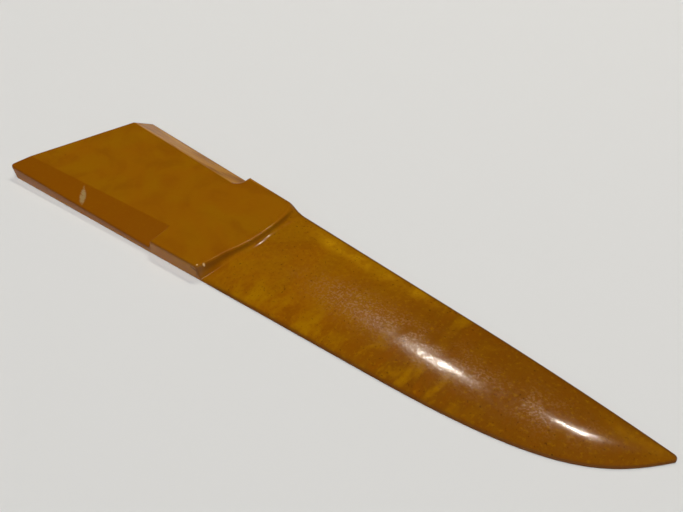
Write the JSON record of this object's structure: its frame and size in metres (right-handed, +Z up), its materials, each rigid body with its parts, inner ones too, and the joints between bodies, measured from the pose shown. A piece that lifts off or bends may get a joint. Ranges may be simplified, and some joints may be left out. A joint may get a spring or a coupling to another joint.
{
  "type": "bone folder",
  "caption": "Flat-backed paper folder shaped like a paper knife, with a thick bevelled handle, a curved shoulder and a thin domed blade.",
  "frame": {"origin": "bottom centre of the piece's box, on the flat back it rests on", "axes": "+X from the butt of the handle to the tip, +Y from the thin near edge to the spine, +Z up from the flat back"},
  "size_m": [0.2118, 0.0448, 0.0047],
  "materials": {
    "amber_resin": "polished translucent marbled cast phenolic resin with fine handling scuffs"
  },
  "bodies": {
    "root": {"folder_body": "amber_resin"}
  },
  "joints": []
}
